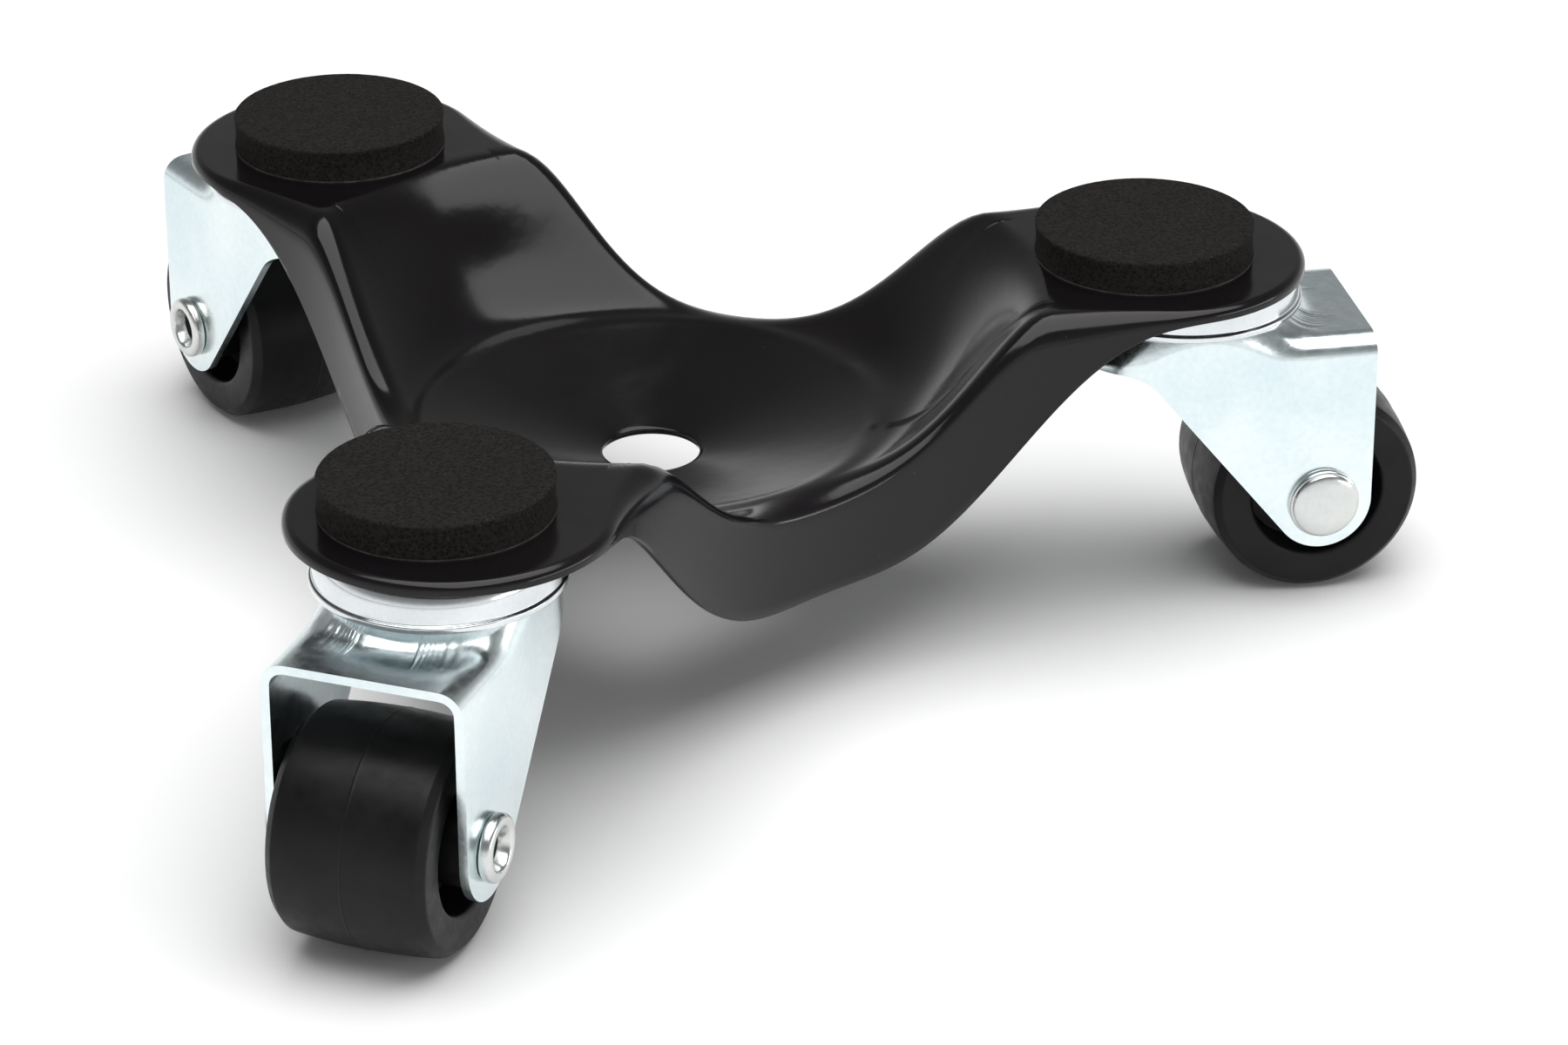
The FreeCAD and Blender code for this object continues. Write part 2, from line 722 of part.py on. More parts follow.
def leg_side_view():
    """The side view of the fork: top, upright back edge, round foot, raked front edge, skirt."""
    back, trail, axle = size("fork_back"), size("trail"), -size("axle_drop")
    foot = back - trail
    skirt = solved(CROWN_TOP) - size("fork_shoulder_drop") - size("fork_skirt")
    nose = -size("fork_front_radius") - size("fork_sheet")
    slope = math.radians(size("leg_slope"))
    along = Vector(-math.cos(slope), 0, math.sin(slope))
    foot_centre = Vector(trail, 0, axle)
    foot_front = foot_centre + Vector(-math.sin(slope), 0, -math.cos(slope)) * foot
    foot_bottom = foot_centre + Vector(0, 0, -foot)
    # the raked edge would meet the skirt at the corner, and a swept arc rounds that off
    corner = foot_front + along * ((skirt - foot_front.z) / along.z)
    sweep = size("leg_sweep_radius")
    reach = sweep * math.tan(slope / 2)
    rake_end = corner - along * reach
    skirt_end = corner + Vector(-reach, 0, 0)
    sweep_centre = skirt_end + Vector(0, 0, -sweep)
    sweep_middle = sweep_centre + (corner - sweep_centre).normalize() * sweep
    top = Vector(back, 0, 0)
    edges = [
        Part.makeLine(top, Vector(back, 0, axle)),
        Part.Arc(Vector(back, 0, axle), foot_bottom, foot_front).toShape(),
        Part.makeLine(foot_front, rake_end),
        Part.Arc(rake_end, sweep_middle, skirt_end).toShape(),
        Part.makeLine(skirt_end, Vector(nose, 0, skirt)),
        Part.makeLine(Vector(nose, 0, skirt), Vector(nose, 0, 0)),
        Part.makeLine(Vector(nose, 0, 0), top),
    ]
    return Part.Face(Part.Wire(edges))


def make_fork(name):
    """The fork: the pressing, trimmed to its side view, with its swivel hole and axle holes."""
    pressing = fork_pressing(name)
    side = doc.addObject("Part::Feature", name + "_side_view")
    half = size("fork_half_width") * 1.5
    side.Shape = leg_side_view().translated(Vector(0, -half, 0)).extrude(Vector(0, 2 * half, 0))
    trimmed = doc.addObject("Part::Common", name + "_trimmed")
    trimmed.Base = pressing
    trimmed.Tool = side
    swivel = doc.addObject("Part::Cylinder", name + "_swivel_hole")
    swivel.setExpression("Radius", "size.fork_hole_radius")
    swivel.setExpression("Height", "size.axle_drop")
    swivel.Placement = Placement(Vector(0, 0, -size("axle_drop")), Rotation())
    axle = doc.addObject("Part::Cylinder", name + "_axle_holes")
    axle.setExpression("Radius", "size.axle_radius + size.press_clearance")
    axle.setExpression("Height", "4 * size.fork_half_width")
    axle.Placement = Placement(
        Vector(size("trail"), 2 * size("fork_half_width"), -size("axle_drop")),
        Rotation(Vector(1, 0, 0), 90))
    holes = doc.addObject("Part::MultiFuse", name + "_holes")
    holes.Shapes = [swivel, axle]
    fork = doc.addObject("Part::Cut", name)
    fork.Base = trimmed
    fork.Tool = holes
    fork.Label = name
    doc.recompute()
    return fork


def make_axle(name):
    """The axle: a hollow rivet with a low head at one end and a rolled flare at the other."""
    head_end = "(-size.fork_half_width - size.axle_head_height)"
    flare_end = "(size.fork_half_width + size.flare_height)"
    bore_end = "(-size.fork_half_width)"
    body = turned_body(name, [
        (head_end, "0"),
        (head_end, "size.axle_head_radius"),
        ("(-size.fork_half_width)", "size.axle_head_radius"),
        ("(-size.fork_half_width)", "size.axle_radius"),
        ("size.fork_half_width", "size.axle_radius"),
        ("size.fork_half_width", "size.flare_radius"),
        (flare_end, "size.flare_radius"),
        (flare_end, "size.flare_mouth_radius"),
        (flare_end + " - size.flare_height", "size.axle_bore_radius"),
        (bore_end, "size.axle_bore_radius"),
        (bore_end, "0"),
    ], upright=False)
    round_circles(body, name + "_head_edge", "size.axle_head_height * 0.5",
                  [("size.axle_head_radius", head_end)], upright=False)
    round_circles(body, name + "_flare_edges", "size.flare_height * 0.4",
                  [("size.flare_radius", flare_end), ("size.flare_radius", "size.fork_half_width")],
                  upright=False)
    round_circles(body, name + "_flare_mouth", "size.flare_height * 0.35",
                  [("size.flare_mouth_radius", flare_end)], upright=False)
    return body


def make_wheel(name):
    """The wheel: a crowned tread, and a hub that stands in a recess on each side."""
    face, web = "(size.wheel_width / 2)", "(size.wheel_width / 2 - size.recess_depth)"
    tread_end = "(size.wheel_width / 2 - size.shoulder_width)"
    tread_edge = "(size.wheel_radius - size.tread_crown)"
    face_edge = "(size.wheel_radius - size.tread_crown - size.shoulder_drop)"
    bore = "(size.axle_radius + size.running_clearance)"
    crown_radius = "(%s ^ 2 + size.tread_crown ^ 2) / (2 * size.tread_crown)" % tread_end
    half = [
        (HUB_HALF, bore),
        (HUB_HALF, "size.hub_radius"),
        (web, "size.hub_radius"),
        (web, "size.recess_radius"),
        (face, "size.recess_radius"),
        (face, face_edge),
        (tread_end, tread_edge),
    ]
    mirrored = [("(-%s)" % along, radius) for along, radius in reversed(half)]
    body = turned_body(name, half + mirrored, upright=False, arcs={len(half) - 1: crown_radius})
    for side in ("", "-"):
        round_circles(body, name + "_shoulder" + side.replace("-", "_far"),
                      "size.shoulder_width * 0.5",
                      [(face_edge, side + face), (tread_edge, side + tread_end)], upright=False)
        round_circles(body, name + "_recess" + side.replace("-", "_far"), "size.shoulder_width * 0.6",
                      [("size.recess_radius", side + face)], upright=False)
    return body


# ---------------------------------------------------------------- assembly

parts = [make_plate()]
for arm_name, arm_angle in ARMS.items():
    parts.append(make_film(arm_name))
    parts.append(make_pad(arm_name))
    axis = turned_point(size("swivel_radius"), arm_angle) + Vector(0, 0, size("lobe_rise"))
    heading = arm_angle + size("trail_turn_" + arm_name)
    caster = Placement(axis, Rotation(Vector(0, 0, 1), heading))
    hub = caster.multiply(Placement(Vector(size("trail"), 0, -size("axle_drop")), Rotation()))
    upright_pieces = [
        make_cup("raceway_cup_" + arm_name),
        make_kingpin("kingpin_" + arm_name),
        make_lower_race("lower_race_" + arm_name),
        make_balls("upper_balls_" + arm_name, "upper", UPPER_BALLS),
        make_balls("lower_balls_" + arm_name, "lower", LOWER_BALLS),
        make_fork("fork_" + arm_name),
    ]
    axle_pieces = [make_axle("axle_rivet_" + arm_name), make_wheel("wheel_" + arm_name)]
    for piece in upright_pieces:
        piece.Placement = caster
    for piece in axle_pieces:
        piece.Placement = hub
    parts.extend(upright_pieces + axle_pieces)
doc.recompute()

for item in doc.Objects:
    if "Invalid" in item.State or "Error" in item.State:
        raise RuntimeError("%s did not build: %s" % (item.Name, item.State))
for part in parts:
    if part.Shape.isNull() or not part.Shape.isValid():
        raise RuntimeError(part.Label + " has no valid shape")

os.makedirs("parts", exist_ok=True)
for part in parts:
    part.Shape.exportStep("parts/%s.step" % part.Label)
print("%d sub-parts written" % len(parts))
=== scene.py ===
"""Furniture dolly: the looks of a pressed steel plate on three zinc-plated swivel casters.

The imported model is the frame. Sizes are in millimetres until a mesh is made, which is in metres.
"""
import math

import bmesh
import bpy
import numpy as np
from mathutils import Matrix, Quaternion, Vector, noise


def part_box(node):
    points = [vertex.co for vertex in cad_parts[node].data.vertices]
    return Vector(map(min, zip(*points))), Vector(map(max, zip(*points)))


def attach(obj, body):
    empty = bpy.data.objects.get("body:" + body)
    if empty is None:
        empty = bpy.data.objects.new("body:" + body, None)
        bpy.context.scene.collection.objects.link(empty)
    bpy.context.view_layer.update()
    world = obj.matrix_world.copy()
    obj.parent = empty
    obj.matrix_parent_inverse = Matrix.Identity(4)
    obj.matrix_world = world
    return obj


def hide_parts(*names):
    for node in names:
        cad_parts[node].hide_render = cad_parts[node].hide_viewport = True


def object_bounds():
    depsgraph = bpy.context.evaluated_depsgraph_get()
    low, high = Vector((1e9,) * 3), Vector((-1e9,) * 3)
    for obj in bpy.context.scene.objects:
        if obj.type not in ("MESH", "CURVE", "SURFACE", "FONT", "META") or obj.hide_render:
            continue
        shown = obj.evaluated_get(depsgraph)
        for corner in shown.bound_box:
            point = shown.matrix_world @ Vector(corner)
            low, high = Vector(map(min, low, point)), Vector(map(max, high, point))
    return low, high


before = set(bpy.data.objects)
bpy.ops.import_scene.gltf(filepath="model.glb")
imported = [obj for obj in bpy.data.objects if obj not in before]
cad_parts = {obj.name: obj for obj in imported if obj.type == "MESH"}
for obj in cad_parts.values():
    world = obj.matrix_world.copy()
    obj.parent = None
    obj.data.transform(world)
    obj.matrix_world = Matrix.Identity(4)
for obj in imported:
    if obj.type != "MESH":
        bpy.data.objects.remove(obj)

cad_low, cad_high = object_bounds()

MM = 0.001
ARMS = {"front": -90.0, "right": 30.0, "left": 150.0}

# ---------------------------------------------------------------- sizes (mm)

SHEET = 1.2
HOLE_RADIUS = 8.5
DISH_RADIUS, DISH_RISE, DISH_BLEND = 39.3, 7.3, 2.5
ARM_TOP_RADIUS, LOBE_RISE, CLIMB_ONSET = 68.5, 30.0, 1.15
LOBE_PITCH, LOBE_RADIUS = 88.0, 27.0
WAIST_RADIUS, WAIST_BEND = 45.6, 5.5
RIM_BEND, RIM_DEPTH, RIM_SWELL = 1.5, 2.0, 0.3
ROLL_GAIN = 1.6
FLANGE_DROP, FLANGE_ONSET, FLANGE_REACH = 10.4, 1.4, 0.4
ARM_CHANNEL = 1.6
LOBE_FAN = 22.0     # the columns that end on a lobe set out within these degrees of its arm
PLATE_COLUMNS = 68  # on each of the outline's six arcs
PLATE_ROWS = (84, 12, 8)    # across the top, over the roll, down the wall

PAD_RADIUS, PAD_THICKNESS = 19.0, 5.7
PAD_EDGE, PAD_WAIST = 0.45, 0.22
PAD_PITTING, PAD_DRIFT = 0.035, 0.06            # how far its surface wanders, finely and slowly
PITTING_PER_MM, DRIFT_PER_MM = 1.6, 0.11
PAD_TOP_INSET, PAD_SIDE_INSET = 0.05, 0.03      # room for that, within the pad's own size

CUP_WALL, CUP_DRAFT, CUP_BEND = 20.0, 0.4, 4.5
CUP_SHEET, CUP_HEIGHT = 1.5, 7.7
CUP_LIP, CUP_LIP_HEIGHT = 20.6, 1.3
PIN_HOLE = 4.03

RACE_GAP = 0.06
UPPER_BALL, UPPER_CIRCLE, UPPER_COUNT = 2.25, 15.2, 18
LOWER_BALL, LOWER_CIRCLE, LOWER_COUNT = 1.6, 10.4, 16

FORK_SHEET, FORK_HALF = 1.5, 17.0

AXLE_DROP, TRAIL, AXLE_RADIUS, BORE_RADIUS = 42.8, 21.9, 4.0, 3.0
HEAD_RADIUS, HEAD_HEIGHT = 6.3, 2.7
DOME_SHARE, DOME_RISE, HEAD_SHOULDER = 0.93, 1.1, 1.3
FLARE_RADIUS, FLARE_MOUTH, FLARE_HEIGHT = 5.6, 3.7, 2.2

WHEEL_RADIUS, WHEEL_HALF, TREAD_CROWN = 19.2, 13.5, 0.7
SHOULDER_WIDTH, SHOULDER_STEP = 1.5, 1.3
SEAM_HEIGHT, SEAM_WIDTH = 0.07, 0.16
RECESS_RADIUS, RECESS_DEPTH = 11.6, 7.0
HUB_RADIUS, HUB_HALF, WHEEL_BORE = 7.0, 15.2, 4.08

CUP_TOP = -SHEET
CUP_CEILING = CUP_TOP - CUP_SHEET
UPPER_LEVEL = CUP_CEILING - RACE_GAP - UPPER_BALL
CROWN_TOP = UPPER_LEVEL - UPPER_BALL - RACE_GAP
LOWER_LEVEL = CROWN_TOP - FORK_SHEET - RACE_GAP - LOWER_BALL
CUP_BOTTOM = CUP_TOP - CUP_HEIGHT


# ---------------------------------------------------------------- materials

def material(name, **sockets):
    """A principled material whose plain values are set on the shader's own sockets."""
    made = bpy.data.materials.new(name)
    made.use_nodes = True
    shader = made.node_tree.nodes["Principled BSDF"]
    for socket, value in sockets.items():
        shader.inputs[socket.replace("_", " ")].default_value = value
    return made, made.node_tree, shader


def add_node(tree, kind, **settings):
    """A node, with its properties or its input sockets set by name."""
    node = tree.nodes.new(kind)
    for name, value in settings.items():
        if name in node.inputs:
            node.inputs[name].default_value = value
        else:
            setattr(node, name, value)
    return node


def speckle(tree, scale, detail=4.0, roughness=0.55, stretch=(1, 1, 1)):
    """Noise in the piece's own coordinates, in features per metre."""
    place = add_node(tree, "ShaderNodeTexCoord")
    spread = add_node(tree, "ShaderNodeMapping")
    spread.inputs["Scale"].default_value = stretch
    grain = add_node(tree, "ShaderNodeTexNoise", Scale=scale, Detail=detail, Roughness=roughness)
    tree.links.new(place.outputs["Object"], spread.inputs["Vector"])
    tree.links.new(spread.outputs["Vector"], grain.inputs["Vector"])
    return grain.outputs["Fac"]


def ramp(tree, source, stops):
    """A colour ramp over a source, with stops as (position, colour or grey)."""
    node = add_node(tree, "ShaderNodeValToRGB")
    elements = node.color_ramp.elements
    while len(elements) < len(stops):
        elements.new(0.5)
    for element, (position, colour) in zip(elements, stops):
        element.position = position
        grey = isinstance(colour, (int, float))
        element.color = (colour, colour, colour, 1) if grey else (*colour, 1)
    tree.links.new(source, node.inputs["Fac"])
    return node.outputs["Color"]


def blend_colours(tree, share, low, high):
    """A mix of two colour outputs by a share output."""
    node = add_node(tree, "ShaderNodeMix", data_type="RGBA")
    tree.links.new(share, node.inputs["Factor"])
    tree.links.new(low, node.inputs["A"])
    tree.links.new(high, node.inputs["B"])
    return node.outputs["Result"]


def bumped(tree, shader, layers):
    """Chains bump layers, given as (height output, strength, depth in metres)."""
    normal = None
    for height, strength, depth in layers:
        node = add_node(tree, "ShaderNodeBump", Strength=strength, Distance=depth)
        tree.links.new(height, node.inputs["Height"])
        if normal is not None:
            tree.links.new(normal, node.inputs["Normal"])
        normal = node.outputs["Normal"]
    tree.links.new(normal, shader.inputs["Normal"])


def black_enamel():
    """Thick stoved enamel: near black, glossy, with a faint orange peel and a little dust."""
    made, tree, shader = material("black_enamel", IOR=1.5, Metallic=0.0, Specular_IOR_Level=0.3)
    cloud = ramp(tree, speckle(tree, 14.0, 2.0), [(0.35, (0.0042, 0.0036, 0.0042)),
                                                   (0.7, (0.0075, 0.0062, 0.0072))])
    dust = ramp(tree, speckle(tree, 1500.0, 2.0), [(0.74, 0.0), (0.8, 1.0)])
    lint = add_node(tree, "ShaderNodeRGB")
    lint.outputs[0].default_value = (0.045, 0.042, 0.04, 1)
    tree.links.new(blend_colours(tree, dust, cloud, lint.outputs[0]), shader.inputs["Base Color"])
    gloss = ramp(tree, speckle(tree, 60.0, 3.0), [(0.3, 0.10), (0.75, 0.20)])
    tree.links.new(gloss, shader.inputs["Roughness"])
    bumped(tree, shader, [(speckle(tree, 230.0, 2.0), 0.12, 0.0002),
                          (speckle(tree, 2600.0, 2.0), 0.05, 0.00005)])
    return made


def zinc(name, pale, deep, rough_low, rough_high, grain, grain_strength):
    """Passivated zinc plate: a cool, grainy metal whose tint drifts over the piece."""
    made, tree, shader = material(name, Metallic=1.0)
    drift = ramp(tree, speckle(tree, 45.0, 3.0), [(0.3, deep), (0.62, pale)])
    flake = ramp(tree, speckle(tree, grain, 6.0, 0.7), [(0.3, (0.55, 0.63, 0.66)), (0.7, (1, 1, 1))])
    tint = add_node(tree, "ShaderNodeMix", data_type="RGBA", blend_type="MULTIPLY")
    tint.inputs["Factor"].default_value = 0.25
    tree.links.new(drift, tint.inputs["A"])
    tree.links.new(flake, tint.inputs["B"])
    tree.links.new(tint.outputs["Result"], shader.inputs["Base Color"])
    gloss = ramp(tree, speckle(tree, grain * 0.4, 5.0, 0.65), [(0.3, rough_low), (0.72, rough_high)])
    tree.links.new(gloss, shader.inputs["Roughness"])
    bumped(tree, shader, [(speckle(tree, grain, 4.0, 0.6), grain_strength, 0.00012),
                          (speckle(tree, 120.0, 2.0), 0.10, 0.0003)])
    return made


def moulded_polymer():
    """Satin black polymer with a fine moulded grain and faint scuffs along the tread."""
    made, tree, shader = material("wheel_polymer", IOR=1.49, Specular_IOR_Level=0.22)
    cloud = ramp(tree, speckle(tree, 70.0, 4.0), [(0.35, (0.0035, 0.0033, 0.0036)),
                                                   (0.75, (0.009, 0.0085, 0.009))])
    tree.links.new(cloud, shader.inputs["Base Color"])
    gloss = ramp(tree, speckle(tree, 340.0, 5.0, 0.7), [(0.3, 0.32), (0.7, 0.5)])
    tree.links.new(gloss, shader.inputs["Roughness"])
    bumped(tree, shader, [(speckle(tree, 1400.0, 3.0, 0.6), 0.18, 0.00006),
                          (speckle(tree, 110.0, 2.0), 0.12, 0.00025)])
    return made


def closed_foam():
    """Dense closed-cell foam: matt black, with open cells on its cut faces whose hollows carry
    painted shade.
    """
    made, tree, shader = material("foam", Roughness=0.92, Specular_IOR_Level=0.08)
    place = add_node(tree, "ShaderNodeTexCoord")
    cells = add_node(tree, "ShaderNodeTexVoronoi", Scale=1500.0, Randomness=1.0)
    tree.links.new(place.outputs["Object"], cells.inputs["Vector"])
    # painted shade: each cell is darker in its hollow and lighter on its walls, on the same cells as
    # the bump
    pit_shaded_cells = ramp(tree, cells.outputs["Distance"], [(0.1, (0.0055, 0.0048, 0.0042)),
                                                   (0.62, (0.0170, 0.0152, 0.0138))])
    bright = ramp(tree, speckle(tree, 1900.0, 3.0, 0.7), [(0.62, 0.0), (0.75, 1.0)])
    fleck = add_node(tree, "ShaderNodeRGB")
    fleck.outputs[0].default_value = (0.06, 0.054, 0.048, 1)
    tree.links.new(blend_colours(tree, bright, pit_shaded_cells, fleck.outputs[0]), shader.inputs["Base Color"])
    bumped(tree, shader, [(cells.outputs["Distance"], 0.5, 0.00025),
                          (speckle(tree, 260.0, 3.0), 0.25, 0.0003)])
    return made


def adhesive_film():
    """The tacky film under a pad: dull, greyish, a little uneven."""
    made, tree, shader = material("adhesive_film", IOR=1.45, Roughness=0.55)
    smear = ramp(tree, speckle(tree, 500.0, 4.0), [(0.3, (0.02, 0.019, 0.018)),
                                                   (0.7, (0.07, 0.068, 0.065))])
    tree.links.new(smear, shader.inputs["Base Color"])
    bumped(tree, shader, [(speckle(tree, 900.0, 3.0), 0.3, 0.0001)])
    return made


def polished_steel():
    """Hardened ball steel with a faint film of grease."""
    made, tree, shader = material("ball_steel", Metallic=1.0)
    grease = ramp(tree, speckle(tree, 400.0, 3.0), [(0.35, (0.42, 0.41, 0.38)),
                                                    (0.7, (0.62, 0.62, 0.62))])
    tree.links.new(grease, shader.inputs["Base Color"])
    gloss = ramp(tree, speckle(tree, 700.0, 3.0), [(0.3, 0.12), (0.7, 0.3)])
    tree.links.new(gloss, shader.inputs["Roughness"])
    return made


ENAMEL = black_enamel()
FORK_ZINC = zinc("fork_zinc", (0.86, 0.93, 0.935), (0.72, 0.83, 0.86), 0.15, 0.28, 900.0, 0.12)
CUP_ZINC = zinc("bright_zinc", (0.84, 0.86, 0.87), (0.68, 0.71, 0.73), 0.08, 0.20, 1300.0, 0.07)
RIVET_ZINC = zinc("rivet_zinc", (0.74, 0.74, 0.71), (0.56, 0.62, 0.65), 0.16, 0.30, 1000.0, 0.14)
POLYMER = moulded_polymer()
FOAM = closed_foam()
FILM_FINISH = adhesive_film()
BALL_STEEL = polished_steel()


# ---------------------------------------------------------------- making meshes

def piece(name, points, faces, finish, body, node, place=None, sharp=35.0):
    """A finished piece from points in millimetres: closed, facing out, shaded, riding on its body."""
    mesh = bpy.data.meshes.new(name)
    mesh.from_pydata([Vector(point) * MM for point in points], [], faces)
    if place is not None:
        mesh.transform(place)
    face_outwards(mesh)
    return settle(name, mesh, finish, body, node, sharp)


def face_outwards(mesh):
    """Merges doubles and turns every face outwards."""
    shell = bmesh.new()
    shell.from_mesh(mesh)
    bmesh.ops.remove_doubles(shell, verts=shell.verts, dist=1e-7)
    bmesh.ops.recalc_face_normals(shell, faces=shell.faces)
    shell.to_mesh(mesh)
    shell.free()


def settle(name, mesh, finish, body, node, sharp):
    """An object for a mesh whose place is already in its points, standing for its CAD node."""
    mesh.shade_smooth()
    mesh.set_sharp_from_angle(angle=math.radians(sharp))
    mesh.materials.clear()
    mesh.materials.append(finish)
    made = bpy.data.objects.new(name, mesh)
    bpy.context.scene.collection.objects.link(made)
    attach(made, body)
    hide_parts(node)
    return made


def rounded(corners, steps):
    """A profile through (across, along, radius) corners, with arcs where the radius isn't 0."""
    points = []
    count = len(corners)
    for number, (across, along, radius) in enumerate(corners):
        here = Vector((across, along))
        if radius == 0:
            points.append(here)
            continue
        back = (Vector(corners[number - 1][:2]) - here).normalized()
        ahead = (Vector(corners[(number + 1) % count][:2]) - here).normalized()
        half = math.acos(max(-1.0, min(1.0, back.dot(ahead)))) / 2
        centre = here + (back + ahead).normalized() * (radius / math.sin(half))
        first = here + back * (radius / math.tan(half)) - centre
        last = here + ahead * (radius / math.tan(half)) - centre
        sweep = first.angle_signed(last)
        for step in range(steps + 1):
            turned = first.copy()
            turned.rotate(Matrix.Rotation(-sweep * step / steps, 2))
            points.append(centre + turned)
    return points


def turn(profile, level_axis, segments):
    """Points and faces of a profile turned about Z, or about Y where level_axis is true.

    The profile is (radius, place along the axis), closed on itself. Points on the axis are poles.
    """
    points, rings = [], []
    for radius, along in profile:
        count = 1 if radius < 1e-6 else segments
        ring = []
        for number in range(count):
            angle = 2 * math.pi * number / segments
            side, up = radius * math.cos(angle), radius * math.sin(angle)
            ring.append(len(points))
            points.append((side, along, up) if level_axis else (side, up, along))
        rings.append(ring)
    faces = []
    for here, there in zip(rings, rings[1:] + rings[:1]):
        if len(here) == 1 and len(there) == 1:
            continue
        for number in range(segments):
            after = (number + 1) % segments
            corners = [here[number % len(here)], here[after % len(here)],
                       there[after % len(there)], there[number % len(there)]]
            faces.append(tuple(dict.fromkeys(corners)))
    return points, faces


def caster_frame(arm):
    """A caster's frame: on the swivel axis at the lobe's top, +X trailing, in metres."""
    pin_low, pin_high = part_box("kingpin_" + arm)
    wheel_low, wheel_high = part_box("wheel_" + arm)
    axis = (pin_low + pin_high) / 2
    hub = (wheel_low + wheel_high) / 2
    heading = math.atan2(hub.y - axis.y, hub.x - axis.x)
    return Matrix.Translation((axis.x, axis.y, LOBE_RISE * MM)) @ Matrix.Rotation(heading, 4, "Z")


# ---------------------------------------------------------------- pressed sheet

def smooth(value):
    """A ramp from 0 to 1 that starts and ends level."""
    value = np.clip(value, 0.0, 1.0)
    return value * value * (3 - 2 * value)


def pressed_skin(edge, normal, outward, height, bend, bottom, start_radius, turn_in, rows):
    """Rows of points on a pressed skin: out across the top, over the roll, down the wall."""
    top_rows, roll_rows, wall_rows = rows
    inner = edge - normal * bend[:, None]
    start = outward * start_radius
    reach = np.linalg.norm(inner - start, axis=1)[:, None] / 3
    knots = (start, start + outward * reach, inner - normal * np.minimum(turn_in, reach), inner)
    skin = []
    for row in range(top_rows + 1):
        share = row / top_rows
        weights = ((1 - share) ** 3, 3 * share * (1 - share) ** 2,
                   3 * share ** 2 * (1 - share), share ** 3)
        place = sum(knot * weight for knot, weight in zip(knots, weights))
        skin.append(np.column_stack([place, height(place[:, 0], place[:, 1])]))
    for row in range(1, roll_rows + 1):
        angle = math.pi / 2 * row / roll_rows
        place = inner + normal * (bend * math.sin(angle))[:, None]
        level = height(place[:, 0], place[:, 1]) - bend * (1 - math.cos(angle))
        skin.append(np.column_stack([place, level]))
    wall_top = height(edge[:, 0], edge[:, 1]) - bend
    for row in range(1, wall_rows + 1):
        skin.append(np.column_stack([edge, wall_top + (bottom - wall_top) * row / wall_rows]))
    return np.array(skin)


def pressed_shell(stations, height, bend, bottom, thickness, start_radius, turn_in, rows):
    """Points and faces of a pressed sheet: two skins a thickness apart, with rounded rims.

    stations are points round the outline, the outward normals there, and the directions in which
    the columns that end there leave the centre. rows holds how many steps the top,
    the roll and the wall take.
    """
    edge, normal, outward = stations
    outer = pressed_skin(edge, normal, outward, height, bend, bottom, start_radius, turn_in, rows)
    along = np.gradient(outer, axis=0)
    around = np.roll(outer, -1, axis=1) - np.roll(outer, 1, axis=1)
    facing = np.cross(along, around)
    facing /= np.linalg.norm(facing, axis=2)[:, :, None]
    facing[rows[0] + rows[1]:] = np.column_stack([normal, np.zeros(len(normal))])
    inner = outer - facing * thickness
    loops = list(outer) + rim(outer[-1], inner[-1], outer[-1] - outer[-2])
    loops += list(inner[::-1]) + rim(inner[0], outer[0], inner[0] - inner[1])
    columns = len(edge)
    faces = []
    for number in range(len(loops)):
        here, there = number * columns, (number + 1) % len(loops) * columns
        for column in range(columns):
            after = (column + 1) % columns
            faces.append((here + column, there + column, there + after, here + after))
    return np.concatenate(loops).tolist(), faces


def rim(leaving, joining, outwards):
    """Loops that round a sheet's edge over, from one skin to the other."""
    middle, half = (leaving + joining) / 2, (leaving - joining) / 2
    outwards = outwards / np.linalg.norm(outwards, axis=1)[:, None]
    swell = RIM_SWELL * np.linalg.norm(half, axis=1)[:, None]
    loops = []
    for turned in (30, 60, 90, 120, 150):
        angle = math.radians(turned)
        loops.append(middle + half * math.cos(angle) + outwards * swell * math.sin(angle))
    return loops


# ---------------------------------------------------------------- the plate

def plate_stations(per_side):
    """Where the plate's columns end and how they set out: lobe arcs joined by arcs that bow in."""
    bow = ((LOBE_PITCH ** 2 + WAIST_RADIUS ** 2 - LOBE_PITCH * WAIST_RADIUS - LOBE_RADIUS ** 2)
           / (LOBE_PITCH + 2 * LOBE_RADIUS - 2 * WAIST_RADIUS))
    points, normals, starts = [], [], []
    for arm in sorted(ARMS.values()):
        lobe = spot(LOBE_PITCH, arm)
        after = spot(WAIST_RADIUS + bow, arm + 60)
        lean = (math.degrees(math.atan2(after[1] - lobe[1], after[0] - lobe[0])) - arm) % 360
        following = spot(LOBE_PITCH, arm + 120)
        far_lean = math.degrees(math.atan2(following[1] - after[1], following[0] - after[0]))
        start = arm + lean + 180
        end = start - ((start - far_lean) % 360)
        for step in range(per_side):
            turned = arm - lean + 2 * lean * step / per_side
            points.append(lobe + spot(LOBE_RADIUS, turned))
            normals.append(spot(1, turned))
            starts.append(spot(1, arm - LOBE_FAN + 2 * LOBE_FAN * step / per_side))
        for step in range(per_side):
            turned = start + (end - start) * step / per_side
            points.append(after + spot(bow, turned))
            normals.append(-spot(1, turned))
            starts.append(spot(1, arm + LOBE_FAN + (120 - 2 * LOBE_FAN) * step / per_side))
    return np.array(points), np.array(normals), np.array(starts)


def spot(radius, degrees):
    """A point on the level plane, by its distance and direction."""
    angle = math.radians(degrees)
    return np.array([radius * math.cos(angle), radius * math.sin(angle)])


